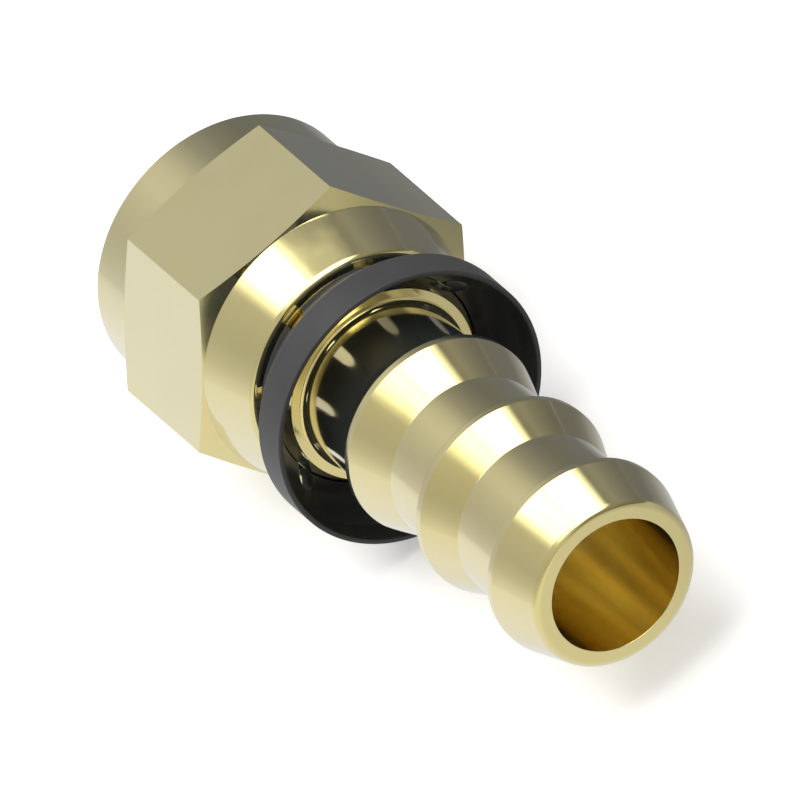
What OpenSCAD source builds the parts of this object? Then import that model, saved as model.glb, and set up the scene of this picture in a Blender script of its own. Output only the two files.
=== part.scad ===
// Socketless hose fitting, straight, with a flare swivel nut and a hose guard ring.
// The axis is X. The hose tail points to +X and the nut's mouth to -X.
// The origin is on the axis, at the open end of the cone seat. One flat of the hex faces down.

/* [Swivel nut] */
// Hex across flats
hex_af = 22.225; // [22:0.025:24]
// How far the flats of the hex stand out from the round parts
flat_step = 0.1125; // [0.05:0.0125:0.3]
// Length of the hex, measured along its corners
hex_len = 10.4; // [9:0.05:13]
// Slope of the chamfers at both ends of the hex
hex_chamfer_deg = 15; // [10:1:30]
// Length of the round part at the mouth
collar_len = 4.2; // [3:0.1:6]
// Rounding of the mouth's outer edge
collar_round = 0.1; // [0.05:0.05:0.4]
// Length of the crimped skirt
skirt_len = 4.62; // [3.8:0.01:6]
// Rounding of the skirt's outer edge
skirt_round = 0.5; // [0.1:0.05:0.7]
// Wall of the skirt, measured across the axis
skirt_wall = 1.75; // [1.5:0.05:1.85]

/* [Thread] */
// Wall between the thread's major radius and the outside of the round parts
thread_wall = 1.475; // [1.1:0.025:2]
// Depth of the thread, from its major radius to the bore that it is cut in
thread_depth = 0.775; // [0.7:0.005:0.85]
// Length of the threaded bore
thread_len = 7.3; // [6:0.1:8]
// Extra radius of the entry chamfer and the run-out groove beyond the thread
thread_margin = 0.1; // [0.05:0.05:0.2]
// Length of the run-out groove behind the thread
relief_len = 1.6; // [1.2:0.1:2.4]

/* [Cone seat] */
// From the inner end of the thread to the seat's open end
seat_back = 0.925; // [0.5:0.025:1.4]
// Angle between the seat's wall and the axis
seat_deg = 37; // [30:1:45]
// Width of the head's front face around the seat
seat_rim = 0.97; // [0.6:0.01:1.4]
// Rounding of the head's front edge
head_round = 0.3; // [0.1:0.05:0.4]

/* [Hose tail] */
// Flow bore
bore_d = 10.74; // [9.5:0.01:11.3]
// Stem between the barbs
stem_d = 13.3; // [12.8:0.05:13.8]
// Height of the barbs above the stem
barb_h = 1.255; // [0.9:0.005:1.5]
// Number of barbs
barb_count = 3; // [2:1:4]
// Distance from one barb to the next
barb_pitch = 10.4; // [8:0.1:12]
// From the flange's face to the front edge of the first crest
barb_start = 8.63; // [7:0.01:10]
// Width of the flat land on each crest
barb_land = 0.55; // [0.3:0.05:0.9]
// Rounding of each crest's rear edge and of the corner at its foot
barb_round = 0.15; // [0.15:0.05:0.45]
// Length of the first barb's cone, down to the stem
first_cone_len = 3.95; // [3:0.05:5]
// Length of the other barbs' cones, down to the stem
cone_len = 3.35; // [3:0.05:5]
// From the front edge of the last crest to the tip's face
tip_len = 4.5; // [3.5:0.1:6]
// Diameter of the tip
tip_d = 13.4; // [12.9:0.05:14]
// Rounding of the tip's outer edge
tip_round = 0.65; // [0.15:0.01:0.8]

/* [Flange] */
// Height of the flange, which the hose end meets, above the stem
flange_h = 1.13; // [0.9:0.01:1.4]
// From the rear of the ring's seat to the flange's face
flange_len = 2.3; // [2:0.05:3]
// Rounding between the flange's face and the stem
flange_round = 0.5; // [0.2:0.05:0.6]
// How far the seat that carries the guard ring stands out from the flange
land_h = 0.62; // [0.4:0.01:0.8]
// Length of the seat that carries the guard ring
land_len = 1.15; // [1.1:0.01:1.25]
// Length of the slope from that seat down to the flange
land_slope = 0.35; // [0.2:0.05:0.6]
// How far the neck in the nut lies below that seat
neck_step = 0.665; // [0.4:0.005:1]

/* [Guard ring] */
// How far the ring's outside stays inside the flats of the hex
ring_recess = 0.0125; // [0:0.0125:0.1]
// Overall length
ring_len = 6.22; // [5.6:0.02:8]
// Thickness of the cup's wall at its bottom
cup_wall = 0.5; // [0.45:0.01:0.7]
// Thickness of the cup's wall at its lip
lip_wall = 0.39; // [0.3:0.01:0.45]
// From the hub's rear to the bottom of the cup's wall
cup_floor = 4.1; // [3.9:0.05:4.5]
// From the hub's rear to the rear edge of the outer wall
wall_start = 3.29; // [3.1:0.01:3.5]
// Rounding of the outer wall's rear edge
wall_round = 0.3; // [0.1:0.05:0.5]
// Rounding of the lip's outer edge
lip_round = 0.06; // [0.05:0.01:0.16]
// Wall of the hub
hub_wall = 0.58; // [0.45:0.01:0.75]
// Length of the straight part of the hub's outside
hub_len = 0.45; // [0.35:0.05:0.7]
// Chamfer of the hub's rear edge
hub_chamfer = 0.16; // [0.05:0.01:0.2]
// Length of the hub's bore
hub_bore_len = 1.29; // [1.25:0.01:1.4]
// Number of slots that part the hub into fingers
slot_count = 8; // [6:1:10]
// Width of a slot
slot_w = 1.58; // [1:0.02:2]
// Length of a slot from the hub's rear to its rounded end
slot_len = 2.68; // [2.2:0.02:2.8]
// Turn of the first slot from straight up
slot_phase = 30; // [0:5:45]
// Height of the snap bead in the hub's bore
bead_h = 0.25; // [0.15:0.01:0.3]
// Width of the snap bead at its crest
bead_w = 0.2; // [0.15:0.01:0.25]
// From the hub's rear to the middle of the snap bead
bead_x = 0.57; // [0.55:0.01:0.6]

/* [Clearances] */
// Radial running clearance between the nut and the nipple's head
swivel_gap = 0.08; // [0.05:0.01:0.1]
// Radial running clearance between the ring's hub and its seat
ring_gap = 0.08; // [0.05:0.01:0.1]
// Side clearance of the snap bead in its groove
bead_gap = 0.06; // [0.05:0.01:0.08]
// Gap between the nut's end face and the ring
end_gap = 0.32; // [0.2:0.02:0.6]

/* [Hidden] */
$fn = 96;

// Points in each rounded corner
arc_steps = 8;
// How far a cutting shape passes the surface that it cuts
over = 1;
brass = [0.74, 0.68, 0.42];
black = [0.22, 0.22, 0.23];

// Radii of the nipple's tail, where the ring and the nut's skirt sit on it
bore_r = bore_d / 2;
stem_r = stem_d / 2;
barb_r = stem_r + barb_h;
flange_r = stem_r + flange_h;
land_r = flange_r + land_h;
neck_r = land_r - neck_step;

// Radii of the nut. The thread comes to a major diameter of 19.05.
flat_r = hex_af / 2;
hex_r = flat_r / cos(30);
collar_r = flat_r - flat_step;
major_r = collar_r - thread_wall;
relief_r = major_r + thread_margin;
thread_r = major_r - thread_depth;
cavity_r = collar_r - skirt_wall;
neck_hole_r = neck_r + swivel_gap;
skirt_end_r = neck_hole_r + skirt_wall;

// Radii of the nipple's head, in the nut's cavity
head_r = cavity_r - swivel_gap;
seat_r = head_r - seat_rim;

// Radii of the ring
hub_bore_r = land_r + ring_gap;
hub_r = hub_bore_r + hub_wall;
bead_r = hub_bore_r - bead_h;
ring_r = flat_r - ring_recess;

// Stations along the nut
relief_x = -seat_back;
thread_x = relief_x - thread_len;
mouth_x = thread_x - relief_r + thread_r;
chamfer_len = (hex_r - collar_r) * tan(hex_chamfer_deg);
collar_x = mouth_x + collar_len;
skirt_x = collar_x + hex_len + 2 * chamfer_len;
nut_end_x = skirt_x + skirt_len;

// Stations along the nipple and the ring
land_x = nut_end_x + end_gap;
flange_x = land_x + flange_len;
last_crest_x = flange_x + barb_start + (barb_count - 1) * barb_pitch;
tip_x = last_crest_x + tip_len;
seat_end_x = (seat_r - bore_r) / tan(seat_deg);
ring_end_x = land_x + ring_len;

function unit(v) = v / norm(v);

// Rounded corner at b, between the lines to a and to c, as points on an arc of radius r
function corner(a, b, c, r) =
    let (u = unit(a - b),
         w = unit(c - b),
         half = acos(u * w) / 2,
         centre = b + unit(u + w) * r / sin(half),
         first = b + u * r / tan(half) - centre,
         last = b + w * r / tan(half) - centre,
         start = atan2(first.y, first.x),
         sweep = atan2(last.y, last.x) - start,
         turn = sweep > 180 ? sweep - 360 : sweep < -180 ? sweep + 360 : sweep)
    [for (i = [0 : arc_steps])
        centre + r * [cos(start + turn * i / arc_steps), sin(start + turn * i / arc_steps)]];

// Turns an outline of [radius, station] points about the X axis
module turned(outline) {
    rotate([0, 90, 0])
        rotate_extrude()
            polygon(outline);
}

// Outline of the snap bead, or of the groove that it runs in, with 45 degree sides
function snap_outline(foot_r, crest_r, half_w) =
    [[foot_r, land_x + bead_x - half_w - foot_r + crest_r],
     [crest_r, land_x + bead_x - half_w],
     [crest_r, land_x + bead_x + half_w],
     [foot_r, land_x + bead_x + half_w + foot_r - crest_r]];

function reversed(list) = [for (i = [len(list) - 1 : -1 : 0]) list[i]];

// The nut is a turned blank cut to a hex. The chamfer cones run past the hex's corners.
module nut_blank() {
    mouth_edge = [collar_r, mouth_x];
    skirt_edge = [skirt_end_r, nut_end_x];
    cone_r = hex_r + over;
    cone_len = (cone_r - collar_r) * tan(hex_chamfer_deg);
    turned(concat(
        [[relief_r, mouth_x]],
        corner([relief_r, mouth_x], mouth_edge, [collar_r, collar_x], collar_round),
        [[collar_r, collar_x],
         [cone_r, collar_x + cone_len],
         [cone_r, skirt_x - cone_len],
         [collar_r, skirt_x]],
        corner([collar_r, skirt_x], skirt_edge, [neck_hole_r, nut_end_x], skirt_round),
        [[neck_hole_r, nut_end_x],
         [cavity_r, skirt_x],
         [cavity_r, relief_x + relief_len],
         [relief_r, relief_x + relief_len],
         [relief_r, relief_x],
         [thread_r, relief_x],
         [thread_r, thread_x]]));
}

module swivel_nut() {
    color(brass)
        intersection() {
            nut_blank();
            translate([mouth_x - over, 0, 0])
                rotate([0, 90, 0])
                    rotate([0, 0, 30])
                        cylinder(h = nut_end_x - mouth_x + 2 * over, r = hex_r, $fn = 6);
        }
}

// One barb: a square shoulder towards the nut, a land, and a cone down to the stem
function barb_outline(crest_x, slope_len) =
    let (back_x = crest_x - barb_land - barb_round,
         foot = [stem_r, back_x],
         shoulder = [barb_r, back_x])
    concat(
        corner([stem_r, back_x - over], foot, shoulder, barb_round),
        corner(foot, shoulder, [barb_r, crest_x], barb_round),
        [[barb_r, crest_x]],
        slope_len > 0 ? [[stem_r, crest_x + slope_len]] : []);

function slope_of(i) = i == barb_count - 1 ? 0 : i == 0 ? first_cone_len : cone_len;

module hose_nipple() {
    groove_r = bead_r - ring_gap;
    groove_half_w = bead_w / 2 + bead_gap;
    head_edge = [head_r, 0];
    flange_foot = [stem_r, flange_x];
    tip_edge = [tip_d / 2, tip_x];
    color(brass)
        turned(concat(
            [[bore_r, seat_end_x],
             [seat_r, 0]],
            corner([seat_r, 0], head_edge, [head_r, skirt_x], head_round),
            [[head_r, skirt_x],
             [neck_r, nut_end_x],
             [neck_r, land_x],
             [land_r, land_x]],
            snap_outline(land_r, groove_r, groove_half_w),
            [[land_r, land_x + land_len],
             [flange_r, land_x + land_len + land_slope],
             [flange_r, flange_x]],
            corner([flange_r, flange_x], flange_foot, [stem_r, flange_x + over], flange_round),
            [for (i = [0 : barb_count - 1])
                each barb_outline(flange_x + barb_start + i * barb_pitch, slope_of(i))],
            corner([barb_r, last_crest_x], tip_edge, [bore_r, tip_x], tip_round),
            [[bore_r, tip_x]]));
}

// One slot of the ring, along the axis at the top, open at the hub's rear
module slot() {
    end_x = slot_len - slot_w / 2;
    translate([land_x, 0, 0]) {
        translate([-over, -slot_w / 2, 0])
            cube([end_x + over, slot_w, ring_r + over]);
        translate([end_x, 0, 0])
            cylinder(h = ring_r + over, d = slot_w);
    }
}

module guard_ring() {
    wall_edge = [ring_r, land_x + wall_start];
    lip_edge = [ring_r, ring_end_x];
    hub_front = [hub_r, land_x + hub_len];
    color(black)
        difference() {
            turned(concat(
                [[hub_bore_r, land_x],
                 [hub_r - hub_chamfer, land_x],
                 [hub_r, land_x + hub_chamfer],
                 hub_front],
                corner(hub_front, wall_edge, lip_edge, wall_round),
                corner(wall_edge, lip_edge, [ring_r - lip_wall, ring_end_x], lip_round),
                [[ring_r - lip_wall, ring_end_x],
                 [ring_r - cup_wall, land_x + cup_floor],
                 [hub_bore_r, land_x + hub_bore_len]],
                reversed(snap_outline(hub_bore_r, bead_r, bead_w / 2))));
            for (i = [0 : slot_count - 1])
                rotate([-slot_phase - 360 * i / slot_count, 0, 0])
                    slot();
        }
}

swivel_nut();
hose_nipple();
guard_ring();
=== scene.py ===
from math import acos, atan2, cos, hypot, pi, radians, sin, tan

import bpy
from mathutils import Matrix, Vector


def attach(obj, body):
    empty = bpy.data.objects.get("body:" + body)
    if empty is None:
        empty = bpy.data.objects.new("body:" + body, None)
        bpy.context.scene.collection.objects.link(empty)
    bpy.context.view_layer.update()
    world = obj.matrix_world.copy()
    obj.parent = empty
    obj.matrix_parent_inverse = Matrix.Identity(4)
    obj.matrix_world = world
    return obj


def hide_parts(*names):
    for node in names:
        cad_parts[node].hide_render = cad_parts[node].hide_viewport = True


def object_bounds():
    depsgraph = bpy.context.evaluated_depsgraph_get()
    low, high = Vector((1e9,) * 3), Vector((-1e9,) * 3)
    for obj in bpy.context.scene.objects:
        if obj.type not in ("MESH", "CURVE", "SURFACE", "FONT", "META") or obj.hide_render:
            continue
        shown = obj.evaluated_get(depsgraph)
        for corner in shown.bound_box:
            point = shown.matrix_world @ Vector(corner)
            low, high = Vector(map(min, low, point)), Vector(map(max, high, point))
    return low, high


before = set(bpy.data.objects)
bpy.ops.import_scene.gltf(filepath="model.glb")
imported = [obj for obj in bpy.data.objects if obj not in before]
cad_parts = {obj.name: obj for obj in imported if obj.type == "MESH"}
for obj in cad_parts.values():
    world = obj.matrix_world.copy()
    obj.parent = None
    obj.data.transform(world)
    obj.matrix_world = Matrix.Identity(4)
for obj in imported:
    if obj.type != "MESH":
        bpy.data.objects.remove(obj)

# A push-on hose fitting: brass nut, brass hose tail, black ring that covers the hose end.
# Lengths of the pieces are millimetres, the axis is X and the tail points to +X.
mm = 0.001
cadBox = [list(corner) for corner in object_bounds()]


# camera

cameraSetup = {
    "right": (0.5003, 0.7503, -0.4321),     # the way that the picture's right side lies
    "up": (-0.4326, 0.6489, 0.6259),
    "lookAt": (10.437, 0.903, -5.042),
    "width": 58.467,                        # how much is seen from side to side
    "distance": 300,
    "nearest": 10,
    "farthest": 5000,
}


def addCamera():
    right = Vector(cameraSetup["right"]).normalized()
    back = right.cross(Vector(cameraSetup["up"])).normalized()
    up = back.cross(right)
    camera = bpy.data.cameras.new("camera")
    camera.type = "ORTHO"
    camera.ortho_scale = cameraSetup["width"] * mm
    camera.clip_start = cameraSetup["nearest"] * mm
    camera.clip_end = cameraSetup["farthest"] * mm
    cameraObject = bpy.data.objects.new("camera", camera)
    place = Matrix((right, up, back)).transposed().to_4x4()
    place.translation = (Vector(cameraSetup["lookAt"]) + back * cameraSetup["distance"]) * mm
    cameraObject.matrix_world = place
    bpy.context.scene.collection.objects.link(cameraObject)
    bpy.context.scene.camera = cameraObject


addCamera()
print("camera ready")


# making meshes

meshMaking = {
    "sharpDegrees": 25,      # an edge whose faces turn by more than this is sharp
    "sameDecimals": 5,       # points that agree to so many decimals are one
    "leastLength": 1e-6,     # mm
}
blank = (0, 0, 0)            # a normal that is left to the mesh


def strips(outline, steps=6):
    # outline: closed list of (x, radius, rounding) with the solid on the left as it goes round
    count = len(outline)
    cuts = []
    for i in range(count):
        here = Vector(outline[i][:2])
        toBack = (Vector(outline[i - 1][:2]) - here).normalized()
        toNext = (Vector(outline[(i + 1) % count][:2]) - here).normalized()
        rounding = outline[i][2]
        if rounding == 0:
            cuts.append([(here, None)])
            continue
        half = acos(max(-1, min(1, toBack.dot(toNext)))) / 2
        centre = here + (toBack + toNext).normalized() * rounding / sin(half)
        first = here + toBack * rounding / tan(half) - centre
        last = here + toNext * rounding / tan(half) - centre
        sweep = atan2(first.x * last.y - first.y * last.x, first.dot(last))
        arc = []
        for k in range(steps + 1):
            turn = sweep * k / steps
            arm = Vector((first.x * cos(turn) - first.y * sin(turn),
                          first.x * sin(turn) + first.y * cos(turn)))
            arc.append((centre + arm, arm.normalized() * (1 if sweep > 0 else -1)))
        cuts.append(arc)
    made = []
    for i in range(count):
        for (start, startNormal), (end, endNormal) in zip(cuts[i], cuts[i][1:]):
            made.append((start, end, startNormal, endNormal))
        start, end = cuts[i][-1][0], cuts[(i + 1) % count][0][0]
        if (end - start).length > meshMaking["leastLength"]:
            along = (end - start).normalized()
            normal = Vector((along.y, -along.x))
            made.append((start, end, normal, normal))
    return made


def around(x, r, angle):
    return (x, r * cos(angle), r * sin(angle))


class Shell:
    # gathers points, faces and the exact normal at each face corner
    def __init__(self):
        self.points, self.index, self.faces, self.normals = [], {}, [], []

    def point(self, p):
        key = tuple(round(value, meshMaking["sameDecimals"]) for value in p)
        if key not in self.index:
            self.index[key] = len(self.points)
            self.points.append(p)
        return self.index[key]

    def face(self, corners, normals):
        ids, kept = [], []
        for p, n in zip(corners, normals):
            i = self.point(p)
            if i not in ids:
                ids.append(i)
                kept.append(n)
        if len(ids) > 2:
            self.faces.append(ids)
            self.normals.extend(kept)

    def spin(self, profile, angles):
        # turns the strips of an outline round the axis
        for p, q, pn, qn in profile:
            for a, b in zip(angles, angles[1:] + angles[:1]):
                self.face([around(*p, a), around(*q, a), around(*q, b), around(*p, b)],
                          [around(*pn, a), around(*qn, a), around(*qn, b), around(*pn, b)])

    def make(self, name):
        mesh = bpy.data.meshes.new(name)
        mesh.from_pydata([Vector(p) * mm for p in self.points], [], self.faces)
        mesh.polygons.foreach_set("use_smooth", [True] * len(mesh.polygons))
        mesh.set_sharp_from_angle(angle=radians(meshMaking["sharpDegrees"]))
        mesh.normals_split_custom_set(self.normals)
        mesh.update()
        made = bpy.data.objects.new(name, mesh)
        bpy.context.scene.collection.objects.link(made)
        return made


def turnedShell(outline, segments, steps=6):
    shell = Shell()
    shell.spin(strips(outline, steps), [2 * pi * k / segments for k in range(segments)])
    return shell


# materials

def blankMaterial(name):
    material = bpy.data.materials.new(name)
    material.use_nodes = True
    nodes, links = material.node_tree.nodes, material.node_tree.links
    nodes.clear()
    return material, nodes, links, nodes.new("ShaderNodeOutputMaterial")


def shadedMaterial(name):
    material, nodes, links, output = blankMaterial(name)
    shader = nodes.new("ShaderNodeBsdfPrincipled")
    links.new(shader.outputs["BSDF"], output.inputs["Surface"])
    return material, nodes, links, shader


def addNode(nodes, kind, **settings):
    # each setting is one of the node's own, or one of its inputs with _ for a space
    node = nodes.new(kind)
    for key, value in settings.items():
        if hasattr(node, key):
            setattr(node, key, value)
        else:
            node.inputs[key.replace("_", " ")].default_value = value
    return node


def addNoise(nodes, links, place, scale, detail, roughness):
    noise = addNode(nodes, "ShaderNodeTexNoise", Scale=scale, Detail=detail, Roughness=roughness)
    links.new(place, noise.inputs["Vector"])
    return noise.outputs["Fac"]


def addRange(nodes, links, source, low, high, toLow=0, toHigh=1):
    # low becomes toLow, high becomes toHigh, and what lies outside is held there
    spread = addNode(nodes, "ShaderNodeMapRange", From_Min=low, From_Max=high,
                     To_Min=toLow, To_Max=toHigh)
    links.new(source, spread.inputs["Value"])
    return spread.outputs["Result"]


def addRamp(nodes, links, source, stops):
    # stops: (place from 0 to 1, grey level or colour)
    ramp = nodes.new("ShaderNodeValToRGB")
    while len(ramp.color_ramp.elements) < len(stops):
        ramp.color_ramp.elements.new(0.5)
    for element, (place, value) in zip(ramp.color_ramp.elements, stops):
        colour = (value, value, value) if isinstance(value, (int, float)) else value
        element.position = place
        element.color = (*colour, 1)
    links.new(source, ramp.inputs["Fac"])
    return ramp.outputs["Color"]


brassFinish = {
    "nutColour": (0.79, 0.69, 0.305),
    "tailColour": (0.79, 0.677, 0.28),
    # paler than the nut and tail: painted light for the light that reaches the bore over several
    # reflections
    "borePaintedLightColour": (0.93, 0.825, 0.46),
    "tarnish": (0.93, 0.89, 0.82),      # what the dulled patches keep of the colour
    "tarnishScale": 90,                 # patches in a metre
    "tarnishStops": (0.45, 0.95),
    "roughness": 0.13,
    "boreRoughness": 0.15,
    "roughnessSpread": 0.035,
    "marksScale": 260,                  # handling marks in a metre
    "marksStops": (0.3, 0.7),
    "lathePitch": 0.09,                 # mm between turning lines
    "waverScale": 30,                   # changes of the lines in a metre across the axis
    "lineDepth": 0.00035,               # mm
    "nutLines": 0.5,                    # how strong the turning lines are
    "tailLines": 0.6,
    "boreLines": 0.5,
    "coatIor": 2.6,                     # clear film, which pales the brass at a low angle
    "coatRoughness": 0.08,
    "coatFacing": (0.14, 0.48),         # where it comes in, from 0 face on to 1 edge on
    "coatLeast": 0.06,
    "haze": 0.032,                      # faint bloom, cool where the metal mirrors the dark
    "hazeTint": (0.50, 0.75, 1.0),
}


def brassMaterial(name, colour, lineStrength, roughness=brassFinish["roughness"], filmed=True):
    material, nodes, links, shader = shadedMaterial(name)
    finish = brassFinish
    place = nodes.new("ShaderNodeTexCoord").outputs["Object"]
    # turning lines: noise that changes mostly along the axis, with a faint waver round it
    squeeze = addNode(nodes, "ShaderNodeMapping", Scale=(
        1 / (finish["lathePitch"] * mm), finish["waverScale"], finish["waverScale"]))
    links.new(place, squeeze.inputs["Vector"])
    lines = addNoise(nodes, links, squeeze.outputs["Vector"], 1, detail=3, roughness=0.6)
    bump = addNode(nodes, "ShaderNodeBump", Strength=lineStrength,
                   Distance=finish["lineDepth"] * mm)
    links.new(lines, bump.inputs["Height"])
    links.new(bump.outputs["Normal"], shader.inputs["Normal"])
    # handling marks: slow changes of gloss and a slightly browner bloom
    marks = addNoise(nodes, links, place, finish["marksScale"], detail=4, roughness=0.55)
    gloss = addRange(nodes, links, marks, *finish["marksStops"],
                     roughness - finish["roughnessSpread"], roughness + finish["roughnessSpread"])
    links.new(gloss, shader.inputs["Roughness"])
    bloom = addNoise(nodes, links, place, finish["tarnishScale"], detail=3, roughness=0.6)
    dulled = [value * kept for value, kept in zip(colour, finish["tarnish"])]
    tone = addRamp(nodes, links, bloom, list(zip(finish["tarnishStops"], (colour, dulled))))
    links.new(tone, shader.inputs["Base Color"])
    shader.inputs["Metallic"].default_value = 1
    if not filmed:
        return material
    # the film's gloss comes in as the surface turns away
    layer = addNode(nodes, "ShaderNodeLayerWeight", Blend=0.5)
    film = addRange(nodes, links, layer.outputs["Facing"], *finish["coatFacing"],
                    finish["coatLeast"])
    links.new(film, shader.inputs["Coat Weight"])
    shader.inputs["Coat IOR"].default_value = finish["coatIor"]
    shader.inputs["Coat Roughness"].default_value = finish["coatRoughness"]
    shader.inputs["Sheen Weight"].default_value = finish["haze"]
    shader.inputs["Sheen Roughness"].default_value = 1
    shader.inputs["Sheen Tint"].default_value = (*finish["hazeTint"], 1)
    return material


plasticFinish = {
    "colour": (0.049, 0.049, 0.050),
    "rubbed": (0.060, 0.060, 0.060),
    "rubbedScale": 170,                 # patches in a metre
    "rubbedStops": (0.35, 0.9),
    # painted shade: the inside of the cup is coloured darker and bluer than the outside
    "inside": (0.023, 0.025, 0.030),
    "insideRadius": 10.85,              # mm, within which the moulding is smooth and carries the painted shade
    "insideBlend": 0.08,
    "roughness": 0.38,
    "roughnessSpread": 0.05,
    "insideRoughness": 0.3,
    "shine": 0.22,                      # specular level
    "grainSize": 0.12,                  # mm
    "grainDepth": 0.0012,               # mm
    "grainStrength": (0.1, 0.6),        # inside and outside
}


def plasticMaterial(name):
    material, nodes, links, shader = shadedMaterial(name)
    finish = plasticFinish
    place = nodes.new("ShaderNodeTexCoord").outputs["Object"]
    # 0 on the smooth inside with its painted shade, 1 on the grained outside, by the distance from
    # the axis
    flat = addNode(nodes, "ShaderNodeVectorMath", operation="MULTIPLY")
    flat.inputs[1].default_value = (0, 1, 1)
    links.new(place, flat.inputs[0])
    reach = addNode(nodes, "ShaderNodeVectorMath", operation="LENGTH")
    links.new(flat.outputs["Vector"], reach.inputs[0])
    outside = addRange(nodes, links, reach.outputs["Value"],
                       (finish["insideRadius"] - finish["insideBlend"]) * mm,
                       (finish["insideRadius"] + finish["insideBlend"]) * mm)
    grain = addNoise(nodes, links, place, 1 / (finish["grainSize"] * mm), detail=2, roughness=0.5)
    strength = addRange(nodes, links, outside, 0, 1, *finish["grainStrength"])
    bump = addNode(nodes, "ShaderNodeBump", Distance=finish["grainDepth"] * mm)
    links.new(strength, bump.inputs["Strength"])
    links.new(grain, bump.inputs["Height"])
    links.new(bump.outputs["Normal"], shader.inputs["Normal"])
    cloud = addNoise(nodes, links, place, finish["rubbedScale"], detail=3, roughness=0.6)
    gloss = addRange(nodes, links, cloud, 0, 1, finish["roughness"] - finish["roughnessSpread"],
                     finish["roughness"] + finish["roughnessSpread"])
    both = addNode(nodes, "ShaderNodeMix", data_type="FLOAT", A=finish["insideRoughness"])
    links.new(outside, both.inputs["Factor"])
    links.new(gloss, both.inputs["B"])
    links.new(both.outputs["Result"], shader.inputs["Roughness"])
    worn = addRamp(nodes, links, cloud,
                   list(zip(finish["rubbedStops"], (finish["colour"], finish["rubbed"]))))
    # painted shade: the cup's inside gets the darker, bluer colour, the outside the worn one
    tone = addNode(nodes, "ShaderNodeMixRGB", Color1=(*finish["inside"], 1))
    links.new(outside, tone.inputs["Fac"])
    links.new(worn, tone.inputs["Color2"])
    links.new(tone.outputs["Color"], shader.inputs["Base Color"])
    shader.inputs["Specular IOR Level"].default_value = finish["shine"]
    return material


nutBrass = brassMaterial("nutBrass", brassFinish["nutColour"], brassFinish["nutLines"])
tailBrass = brassMaterial("tailBrass", brassFinish["tailColour"], brassFinish["tailLines"])
# the bore's brass has no film and a paler colour, painted light for the light it gets over several
# reflections
boreBrass = brassMaterial("boreBrass", brassFinish["borePaintedLightColour"], brassFinish["boreLines"],
                          brassFinish["boreRoughness"], filmed=False)
ringPlastic = plasticMaterial("ringPlastic")
print("materials ready")


# hose tail

tail = {
    "boreRadius": 5.37,
    "boreReach": 0.01,        # faces so near the bore get its brass, paler with painted light
    "stemRadius": 6.65,
    "barbRadius": 7.905,
    "crestFronts": (22.352, 32.752, 43.152),
    "coneLengths": (3.95, 3.35),
    "coneRounding": 0.25,     # where a cone meets the stem
    "crestLand": 0.55,
    "barbRounding": 0.15,     # at the rear of a barb
    "crestRounding": 0.06,    # at its front, and round the flange
    "edgeRounding": 0.05,     # all other edges
    "tipX": 47.652,
    "tipRadius": 6.7,
    "tipRounding": 0.65,
    "flangeX": 13.722,
    "flangeRadius": 7.78,
    "flangeRounding": 0.5,
    "seatX": 11.422,          # where the ring sits
    "seatRadius": 8.4,
    "seatLength": 1.15,
    "seatSlope": 0.35,
    "grooveRadius": 8.15,
    "grooveMiddle": 0.57,
    "grooveHalf": 0.16,
    "neckRadius": 7.735,
    "neckEndX": 11.102,
    "headRadius": 9.17,
    "headEndX": 6.482,
    "headRounding": 0.3,
    "coneRadius": 8.2,
    "coneEndX": 3.756,
    "segments": 288,
}


def makeTail():
    t, edge = tail, tail["edgeRounding"]
    outline = [(t["coneEndX"], t["boreRadius"], edge), (t["tipX"], t["boreRadius"], edge),
               (t["tipX"], t["tipRadius"], t["tipRounding"])]
    for i in (2, 1, 0):
        crest = t["crestFronts"][i]
        back = crest - t["crestLand"] - t["barbRounding"]
        if i < 2:
            outline.append((crest + t["coneLengths"][i], t["stemRadius"], t["coneRounding"]))
        outline += [(crest, t["barbRadius"], t["crestRounding"]),
                    (back, t["barbRadius"], t["barbRounding"]),
                    (back, t["stemRadius"], t["barbRounding"])]
    grooveX = t["seatX"] + t["grooveMiddle"]
    grooveDrop = t["seatRadius"] - t["grooveRadius"]
    outline += [(t["flangeX"], t["stemRadius"], t["flangeRounding"]),
                (t["flangeX"], t["flangeRadius"], t["crestRounding"]),
                (t["seatX"] + t["seatLength"] + t["seatSlope"], t["flangeRadius"], edge),
                (t["seatX"] + t["seatLength"], t["seatRadius"], edge),
                (grooveX + t["grooveHalf"] + grooveDrop, t["seatRadius"], 0),
                (grooveX + t["grooveHalf"], t["grooveRadius"], 0),
                (grooveX - t["grooveHalf"], t["grooveRadius"], 0),
                (grooveX - t["grooveHalf"] - grooveDrop, t["seatRadius"], 0),
                (t["seatX"], t["seatRadius"], edge), (t["seatX"], t["neckRadius"], edge),
                (t["neckEndX"], t["neckRadius"], 0), (t["headEndX"], t["headRadius"], 0),
                (0, t["headRadius"], t["headRounding"]), (0, t["coneRadius"], edge)]
    made = turnedShell(outline, t["segments"]).make("hoseTail")
    made.data.materials.append(tailBrass)
    made.data.materials.append(boreBrass)
    reach = (t["boreRadius"] + t["boreReach"]) * mm
    for face in made.data.polygons:
        if all(hypot(*made.data.vertices[i].co[1:]) < reach for i in face.vertices):
            face.material_index = 1
    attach(made, "nipple")
    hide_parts("hose_nipple")


makeTail()
print("hose tail ready")


# swivel nut

nut = {
    "flatRadius": 11.1125,
    "cornerRounding": 0.10,
    "roundRadius": 11.0,
    "mouthX": -9.1,
    "mouthRounding": 0.1,
    "hexStartX": -4.9,
    "hexEndX": 6.482,
    "chamferDegrees": 15,
    "skirtEndX": 11.102,
    "skirtEndRadius": 9.565,
    "skirtRounding": 0.5,
    "neckHoleRadius": 7.815,
    "cavityRadius": 9.25,
    "grooveRadius": 9.625,
    "grooveStartX": -0.925,
    "grooveEndX": 0.675,
    "threadMajor": 9.525,
    "threadMinor": 8.75,
    "threadPitch": 1.5875,
    "threadRootFlat": 0.198,
    "flankDegrees": 30,
    "pointsOnFlat": 28,
    "pointsOnCorner": 5,
}


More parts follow.
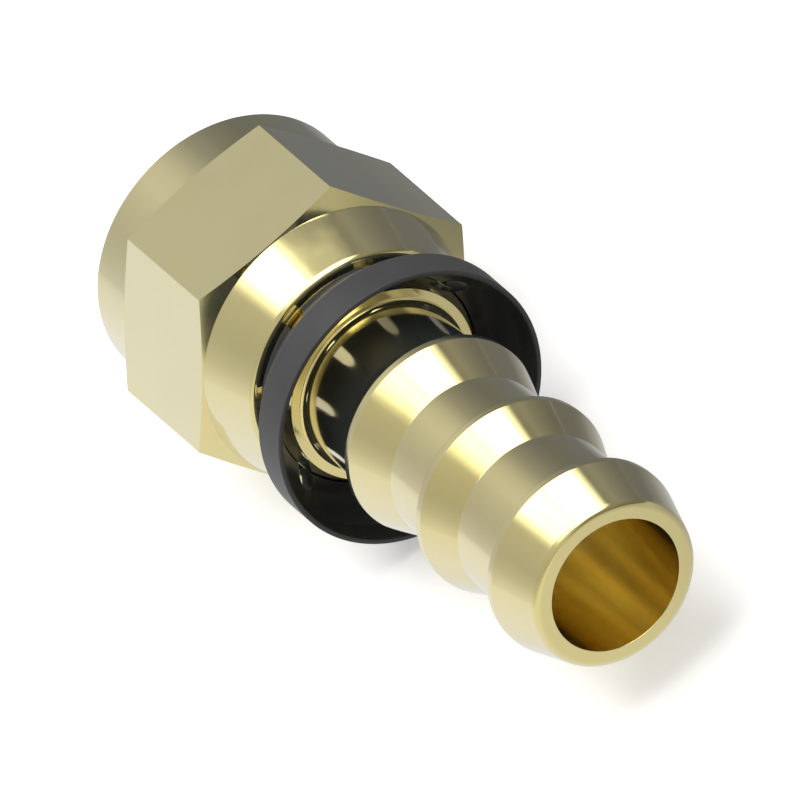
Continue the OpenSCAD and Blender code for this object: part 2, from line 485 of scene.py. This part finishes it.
def hexContour():
    # (y, z, angle of the normal) round the hex, two flats square to Z
    sixth, rounding = radians(60), nut["cornerRounding"]
    reach = (nut["flatRadius"] - rounding) * tan(sixth / 2)
    middle = (nut["flatRadius"] - rounding) / cos(sixth / 2)
    contour = []
    for side in range(6):
        facing = radians(30 + 60 * side)
        for k in range(nut["pointsOnFlat"] + 1):
            along = reach * (2 * k / nut["pointsOnFlat"] - 1)
            contour.append((nut["flatRadius"] * cos(facing) - along * sin(facing),
                            nut["flatRadius"] * sin(facing) + along * cos(facing), facing))
        for k in range(1, nut["pointsOnCorner"]):
            turn = facing + sixth * k / nut["pointsOnCorner"]
            contour.append((middle * cos(facing + sixth / 2) + rounding * cos(turn),
                            middle * sin(facing + sixth / 2) + rounding * sin(turn), turn))
    return contour


def threadRadius(x):
    # internal thread, root centred on x = 0
    pitch = nut["threadPitch"]
    x = abs((x + pitch / 2) % pitch - pitch / 2)
    flank = (x - nut["threadRootFlat"] / 2) / tan(radians(nut["flankDegrees"]))
    return max(nut["threadMinor"], min(nut["threadMajor"], nut["threadMajor"] - flank))


def makeNut():
    n, shell = nut, Shell()
    contour = hexContour()
    count = len(contour)
    angles = [atan2(z, y) for y, z, turn in contour]
    angles = [a + 2 * pi if a < angles[0] - 1e-9 else a for a in angles]
    slope = tan(radians(n["chamferDegrees"]))

    # turned surfaces: skirt, cavity and groove on one side of the hex, the mouth on the other
    entry = (n["mouthX"], n["grooveRadius"], 0)
    rounds = strips([
        (n["hexStartX"], n["roundRadius"], 0),
        (n["mouthX"], n["roundRadius"], n["mouthRounding"]), entry,
        (n["grooveStartX"], n["grooveRadius"], 0), (n["grooveEndX"], n["grooveRadius"], 0),
        (n["grooveEndX"], n["cavityRadius"], 0), (n["hexEndX"], n["cavityRadius"], 0),
        (n["skirtEndX"], n["neckHoleRadius"], 0),
        (n["skirtEndX"], n["skirtEndRadius"], n["skirtRounding"]),
        (n["hexEndX"], n["roundRadius"], 0)])
    # the thread and the hex fill the strips that start here
    gaps = (Vector(entry[:2]), Vector((n["hexEndX"], n["roundRadius"])))
    shell.spin([s for s in rounds if not any(
        (s[0] - gap).length < meshMaking["leastLength"] for gap in gaps)], angles)

    # hex flats with a turned chamfer at both ends, whose edge curves down towards the corners
    def edges(k):
        y, z, turn = contour[k]
        rise = (hypot(y, z) - n["roundRadius"]) * slope
        return (y, z), (0, cos(turn), sin(turn)), n["hexStartX"] + rise, n["hexEndX"] - rise

    inner = n["roundRadius"]
    cone = Vector((-1, slope)).normalized()
    for k in range(count):
        (ya, za), normalA, startA, endA = edges(k)
        (yb, zb), normalB, startB, endB = edges((k + 1) % count)
        a, b = angles[k], angles[(k + 1) % count]
        shell.face([(endA, ya, za), (startA, ya, za), (startB, yb, zb), (endB, yb, zb)],
                   [normalA, normalA, normalB, normalB])
        shell.face([(startA, ya, za), around(n["hexStartX"], inner, a),
                    around(n["hexStartX"], inner, b), (startB, yb, zb)],
                   [around(cone.x, cone.y, turn) for turn in (a, a, b, b)])
        shell.face([around(n["hexEndX"], inner, a), (endA, ya, za), (endB, yb, zb),
                    around(n["hexEndX"], inner, b)],
                   [around(-cone.x, cone.y, turn) for turn in (a, a, b, b)])

    # right-hand thread, clipped by the entry chamfer and run out in the groove
    pitch, half = n["threadPitch"], n["threadRootFlat"] / 2
    flank = (n["threadMajor"] - n["threadMinor"]) * tan(radians(n["flankDegrees"]))
    rest = pitch - 2 * (half + flank)
    samples = [-half - flank * f for f in (1, 0.75, 0.5, 0.25, 0)]
    samples += [half + flank * f for f in (0, 0.25, 0.5, 0.75, 1)]
    samples += [half + flank + rest * f for f in (0.2, 0.4, 0.6, 0.8)]
    turns = range(-1, int((n["grooveStartX"] - n["mouthX"]) / pitch) + 2)
    path = [n["mouthX"] + pitch * t + s for t in turns for s in samples]

    def threadPoint(x, a):
        shift = pitch * a / (2 * pi)
        x = min(max(x + shift, n["mouthX"]), n["grooveStartX"])
        chamfer = n["grooveRadius"] - (x - n["mouthX"])
        return around(x, max(threadRadius(x - n["mouthX"] - shift), chamfer), a)

    for a, b in zip(angles, angles[1:] + [angles[0] + 2 * pi]):
        for p, q in zip(path, path[1:]):
            shell.face([threadPoint(p, a), threadPoint(q, a), threadPoint(q, b), threadPoint(p, b)],
                       [blank] * 4)
        shell.face([threadPoint(path[-1], a), around(n["grooveStartX"], n["grooveRadius"], a),
                    around(n["grooveStartX"], n["grooveRadius"], b), threadPoint(path[-1], b)],
                   [blank] * 4)
    made = shell.make("swivelNut")
    made.data.materials.append(nutBrass)
    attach(made, "nut")
    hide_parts("swivel_nut")


makeNut()
print("swivel nut ready")


# guard ring

guard = {
    "rearX": 11.422,
    "length": 6.22,
    "outerRadius": 11.1,
    "cupRadius": 10.6,
    "lipRadius": 10.71,
    "cupFloor": 4.1,
    "cupRounding": 0.2,
    "wallStart": 3.29,
    "wallRounding": 0.3,
    "lipRounding": 0.06,
    "lipInnerRounding": 0.04,
    "hubRadius": 9.06,
    "hubLength": 0.45,
    "hubRounding": 0.05,
    "hubChamfer": 0.16,
    "boreRadius": 8.48,
    "boreLength": 1.29,
    "boreRounding": 0.1,
    "beadRadius": 8.23,
    "beadMiddle": 0.57,
    "beadHalf": 0.1,
    "slots": 8,
    "slotWidth": 1.58,
    "slotLength": 2.68,
    "slotReach": (7.2, 13),     # radii from which and to which a slot is cut
    "slotSteps": 16,            # straight pieces in its round end
    "firstSlot": 30,            # degrees from straight up, towards +Y
    "edgeRounding": 0.07,
    "edgeSteps": 2,
    "edgeDegrees": 60,          # edges that turn by more than this are rounded
    "segments": 240,
    "roundingSteps": 4,
}


def slotCutter():
    # slots, cut straight inwards from the outside
    g, half = guard, guard["slotWidth"] / 2
    end = g["slotLength"] - half
    bend = [pi * i / g["slotSteps"] for i in range(1, g["slotSteps"])]
    shape = [(-1, -half), (end, -half)]
    shape += [(end + half * sin(turn), -half * cos(turn)) for turn in bend]
    shape += [(end, half), (-1, half)]
    size = len(shape)
    cutters = Shell()
    for k in range(g["slots"]):
        # the angle from straight up towards +Y is measured back from +Z
        facing = pi / 2 - radians(g["firstSlot"]) - 2 * pi * k / g["slots"]
        low, high = [[(g["rearX"] + x, r * cos(facing) - y * sin(facing),
                       r * sin(facing) + y * cos(facing)) for x, y in shape]
                     for r in g["slotReach"]]
        cutters.face(low, [blank] * size)
        cutters.face(high[::-1], [blank] * size)
        for i in range(size):
            j = (i + 1) % size
            cutters.face([low[j], low[i], high[i], high[j]], [blank] * 4)
    return cutters.make("slotCutter")


def makeRing():
    g, bead = guard, guard["beadMiddle"]
    step = g["boreRadius"] - g["beadRadius"]
    outline = [(g["rearX"] + x, r, rounding) for x, r, rounding in (
        (0, g["boreRadius"], 0),
        (bead - g["beadHalf"] - step, g["boreRadius"], 0),
        (bead - g["beadHalf"], g["beadRadius"], 0),
        (bead + g["beadHalf"], g["beadRadius"], 0),
        (bead + g["beadHalf"] + step, g["boreRadius"], 0),
        (g["boreLength"], g["boreRadius"], g["boreRounding"]),
        (g["cupFloor"], g["cupRadius"], g["cupRounding"]),
        (g["length"], g["lipRadius"], g["lipInnerRounding"]),
        (g["length"], g["outerRadius"], g["lipRounding"]),
        (g["wallStart"], g["outerRadius"], g["wallRounding"]),
        (g["hubLength"], g["hubRadius"], g["hubRounding"]),
        (g["hubChamfer"], g["hubRadius"], 0),
        (0, g["hubRadius"] - g["hubChamfer"], 0))]
    made = turnedShell(outline, g["segments"], g["roundingSteps"]).make("guardRing")
    cutter = slotCutter()
    cut = made.modifiers.new("slots", "BOOLEAN")
    cut.object = cutter
    cut.operation = "DIFFERENCE"
    cut.solver = "EXACT"
    bevel = made.modifiers.new("edges", "BEVEL")
    bevel.width = g["edgeRounding"] * mm
    bevel.segments = g["edgeSteps"]
    bevel.limit_method = "ANGLE"
    bevel.angle_limit = radians(g["edgeDegrees"])
    bevel.harden_normals = True
    ready = made.evaluated_get(bpy.context.evaluated_depsgraph_get())
    applied = bpy.data.meshes.new_from_object(ready)
    made.modifiers.clear()
    made.data = applied
    bpy.data.objects.remove(cutter)
    made.data.materials.clear()
    made.data.materials.append(ringPlastic)
    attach(made, "ring")
    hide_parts("guard_ring")


makeRing()
print("guard ring ready")


# studio, where sizes are metres but for the panels

def emission(nodes, colour=(1, 1, 1), strength=1):
    return addNode(nodes, "ShaderNodeEmission", Color=(*colour, 1), Strength=strength)


def rayShare(nodes, links, *kinds):
    # 1 for rays of these kinds, 0 for all others
    rays = nodes.new("ShaderNodeLightPath")
    total = rays.outputs[kinds[0]]
    for kind in kinds[1:]:
        add = addNode(nodes, "ShaderNodeMath", operation="MAXIMUM")
        links.new(total, add.inputs[0])
        links.new(rays.outputs[kind], add.inputs[1])
        total = add.outputs[0]
    return total


def mixShaders(nodes, links, share, first, second, output):
    mix = nodes.new("ShaderNodeMixShader")
    for source, socket in zip((share, first, second), mix.inputs):
        links.new(source, socket)
    links.new(mix.outputs[0], output.inputs["Surface"])


def mixTones(nodes, links, share, first, second, blend):
    mix = addNode(nodes, "ShaderNodeMixRGB", blend_type=blend)
    for source, socket in zip((share, first, second), mix.inputs):
        links.new(source, socket)
    return mix.outputs["Color"]


def placeParts(nodes, links):
    place = nodes.new("ShaderNodeNewGeometry")
    parts = nodes.new("ShaderNodeSeparateXYZ")
    links.new(place.outputs["Position"], parts.inputs[0])
    return parts.outputs


def addSheet(name, low, high, z):
    mesh = bpy.data.meshes.new(name)
    corners = ((low[0], low[1]), (high[0], low[1]), (high[0], high[1]), (low[0], high[1]))
    mesh.from_pydata([(x, y, z) for x, y in corners], [], [(0, 1, 2, 3)])
    sheet = bpy.data.objects.new(name, mesh)
    bpy.context.scene.collection.objects.link(sheet)
    return sheet


def glossyOnly(thing):
    thing.visible_camera = False
    thing.visible_diffuse = False
    thing.visible_shadow = False
    thing.visible_transmission = False
    thing.visible_volume_scatter = False


room = {
    "light": 0.55,       # soft light from all round
    "seen": 1.0,         # the white behind the fitting
}


def addWorld():
    world = bpy.data.worlds.new("room")
    bpy.context.scene.world = world
    world.use_nodes = True
    nodes, links = world.node_tree.nodes, world.node_tree.links
    nodes.clear()
    output = nodes.new("ShaderNodeOutputWorld")
    light, seen = [addNode(nodes, "ShaderNodeBackground", Color=(1, 1, 1, 1), Strength=strength)
                   for strength in (room["light"], room["seen"])]
    direct = rayShare(nodes, links, "Is Camera Ray", "Is Glossy Ray", "Is Transmission Ray")
    mixShaders(nodes, links, direct, light.outputs[0], seen.outputs[0], output)


paleFloor = {
    "size": 1.6,
    "gap": 0.00002,                    # below the fitting
    "colour": 0.80,
    "lift": 0.35,                      # its glow towards camera rays
    "mirroredColour": 0.16,            # as mirror rays see it, with less of the shadow
    "mirrored": (0.70, 0.71, 0.74),    # its glow towards mirror rays
    "fallX": (-0.18, -0.005),          # towards -X that glow falls off into the grey of the walls
    "fallTo": 0.66,
    "fallBend": 0.3,                   # how much later it does so away from the axis
}


def addFloor():
    half = paleFloor["size"] / 2
    floor = addSheet("floor", (-half, -half), (half, half), cadBox[0][2] - paleFloor["gap"])
    material, nodes, links, output = blankMaterial("paleFloor")

    def lit(shade, glow, strength):
        diffuse = addNode(nodes, "ShaderNodeBsdfDiffuse", Color=(shade, shade, shade, 1))
        light = emission(nodes, glow)
        links.new(strength, light.inputs["Strength"])
        add = nodes.new("ShaderNodeAddShader")
        links.new(diffuse.outputs[0], add.inputs[0])
        links.new(light.outputs[0], add.inputs[1])
        return add.outputs[0]

    parts = placeParts(nodes, links)
    aside = addNode(nodes, "ShaderNodeMath", operation="ABSOLUTE")
    links.new(parts["Y"], aside.inputs[0])
    away = addNode(nodes, "ShaderNodeMath", operation="MULTIPLY_ADD")
    links.new(aside.outputs[0], away.inputs[0])
    away.inputs[1].default_value = paleFloor["fallBend"]
    links.new(parts["X"], away.inputs[2])
    fall = addRange(nodes, links, away.outputs[0], *paleFloor["fallX"], paleFloor["fallTo"])
    straight = rayShare(nodes, links, "Is Camera Ray", "Is Transmission Ray")
    seen = lit(paleFloor["colour"], (paleFloor["lift"],) * 3, straight)
    mirrored = lit(paleFloor["mirroredColour"], paleFloor["mirrored"], fall)
    mixShaders(nodes, links, rayShare(nodes, links, "Is Glossy Ray"), seen, mirrored, output)
    floor.data.materials.append(material)


# grey studio walls that only reflections see: pale on the -Y side, dark on the +Y side
walls = {
    "radius": 0.6,
    # grey levels by the angle from straight up, from -90 at -Y to 90 at +Y
    "levels": ((-90, 0.67), (-83, 0.62), (-72, 0.57), (-58, 0.53), (-49, 0.55), (-29, 0.61),
               (-13, 0.69), (0, 0.66), (11, 0.58), (31, 0.335), (50, 0.225), (68, 0.168),
               (90, 0.165)),
    # what is added to them, but for the end at -X
    "added": ((-90, 0.17), (-84, 0.14), (-76, 0.05), (-63, 0), (14, 0), (52, 0), (57, 0.08),
              (61, 0.12), (76, 0.04), (85, 0)),
    "addedX": (-0.38, -0.24),
}


def addTent():
    bpy.ops.mesh.primitive_uv_sphere_add(segments=48, ring_count=24, radius=walls["radius"])
    tent = bpy.context.active_object
    tent.name = "studioWalls"
    material, nodes, links, output = blankMaterial("studioWalls")
    parts = placeParts(nodes, links)
    turn = addNode(nodes, "ShaderNodeMath", operation="ARCTAN2")
    links.new(parts["Y"], turn.inputs[0])
    links.new(parts["Z"], turn.inputs[1])
    scaled = addRange(nodes, links, turn.outputs[0], -pi / 2, pi / 2)
    levels, added = [[(angle / 180 + 0.5, level) for angle, level in walls[key]]
                     for key in ("levels", "added")]
    shade = addRamp(nodes, links, scaled, levels)
    extra = addRamp(nodes, links, scaled, added)
    along = addRange(nodes, links, parts["X"], *walls["addedX"])
    glow = emission(nodes)
    links.new(mixTones(nodes, links, along, shade, extra, "ADD"), glow.inputs["Color"])
    links.new(glow.outputs[0], output.inputs["Surface"])
    tent.data.materials.append(material)
    glossyOnly(tent)


# flat lights that only reflections see, in mm, with edges that fade along a curve
# rows are y, left x, right x and share of the level
panels = {
    "mainPanel": {
        "height": 150, "level": 4.0, "curve": 1.3, "fadeLeft": 9, "fadeRight": 40,
        "rows": ((22, -15, 200, 0), (36, -17, 200, 1), (66, -20, 200, 1), (92, -26, 200, 1),
                 (125, -34, 200, 1), (141, -39, 200, 0.6), (168, -48, 200, 0.28),
                 (177, -51, 200, 0.16), (184, -54, 200, 0)),
    },
    "sidePanel": {
        "height": 300, "level": 4.0, "curve": 2.0, "fadeLeft": 40, "fadeRight": 6,
        "rows": ((-172, -150, -55, 0), (-77, -150, -55, 1), (33, -150, -55, 1),
                 (103, -150, -55, 0)),
    },
    "backPanel": {
        "height": 304, "level": 2.85, "curve": 1.15, "fadeLeft": 8, "fadeRight": 40,
        "rows": ((-120, -50, 300, 0), (-15, -50, 300, 1), (70, -50, 300, 1), (85, -50, 300, 0)),
    },
}


def addPanel(name, height, level, curve, fadeLeft, fadeRight, rows):
    points = [(x * mm, y * mm, height * mm) for y, left, right, share in rows
              for x in (left - fadeLeft, left, right, right + fadeRight)]
    faces = [(4 * i + k, 4 * i + k + 1, 4 * i + k + 5, 4 * i + k + 4)
             for i in range(len(rows) - 1) for k in range(3)]
    mesh = bpy.data.meshes.new(name)
    mesh.from_pydata(points, [], faces)
    fade = mesh.attributes.new("fade", "FLOAT", "POINT")
    fade.data.foreach_set("value", [value for row in rows for value in (0, row[3], row[3], 0)])
    panel = bpy.data.objects.new(name, mesh)
    bpy.context.scene.collection.objects.link(panel)
    material, nodes, links, output = blankMaterial(name)
    amount = addNode(nodes, "ShaderNodeAttribute", attribute_name="fade")
    curved = addNode(nodes, "ShaderNodeMath", operation="POWER")
    links.new(amount.outputs["Fac"], curved.inputs[0])
    curved.inputs[1].default_value = curve
    clear = nodes.new("ShaderNodeBsdfTransparent")
    light = emission(nodes, strength=level)
    mixShaders(nodes, links, curved.outputs[0], clear.outputs[0], light.outputs[0], output)
    mesh.materials.append(material)
    glossyOnly(panel)


# the floor's dark side at +Y, again only for reflections, paler towards +X
floorCard = {
    "low": (-0.5, -0.02),
    "high": (0.5, 0.5),
    "gap": 0.0001,                 # above the foot of the fitting
    "shadesEndY": 0.03,
    # grey levels from low y to shadesEndY, at the nut and at the tip
    "nutShades": ((0.0, 0.92), (0.44, 0.75), (0.77, 0.29), (0.97, (0.165, 0.168, 0.178))),
    "tipShades": ((0.0, 0.92), (0.44, 0.75), (1.0, 0.54)),
    "changeX": (0.015, 0.075),     # from the nut's to the tip's
}


def addFloorCard():
    values = floorCard
    card = addSheet("floorCard", values["low"], values["high"], cadBox[0][2] + values["gap"])
    material, nodes, links, output = blankMaterial("floorCard")
    parts = placeParts(nodes, links)
    scaled = addRange(nodes, links, parts["Y"], values["low"][1], values["shadesEndY"])
    atNut = addRamp(nodes, links, scaled, values["nutShades"])
    atTip = addRamp(nodes, links, scaled, values["tipShades"])
    along = addRange(nodes, links, parts["X"], *values["changeX"])
    glow = emission(nodes)
    links.new(mixTones(nodes, links, along, atNut, atTip, "MIX"), glow.inputs["Color"])
    links.new(glow.outputs[0], output.inputs["Surface"])
    card.data.materials.append(material)
    glossyOnly(card)


keyLight = {
    "place": (-0.1, -0.15, 0.9),
    "aim": (0.01, 0, 0),
    "size": 0.8,
    "power": 9,
}


def addKey():
    light = bpy.data.lights.new("key", "AREA")
    light.shape = "SQUARE"
    light.size = keyLight["size"]
    light.energy = keyLight["power"]
    key = bpy.data.objects.new("key", light)
    key.location = keyLight["place"]
    aim = Vector(keyLight["aim"]) - key.location
    key.rotation_euler = aim.to_track_quat("-Z", "Y").to_euler()
    key.visible_glossy = False
    bpy.context.scene.collection.objects.link(key)


addWorld()
addFloor()
addTent()
for name, values in panels.items():
    addPanel(name, **values)
addFloorCard()
addKey()
bpy.context.scene.cycles.glossy_bounces = 8      # the bore is lit through five or six reflections
bpy.context.scene.view_settings.view_transform = "Standard"
print("studio ready")
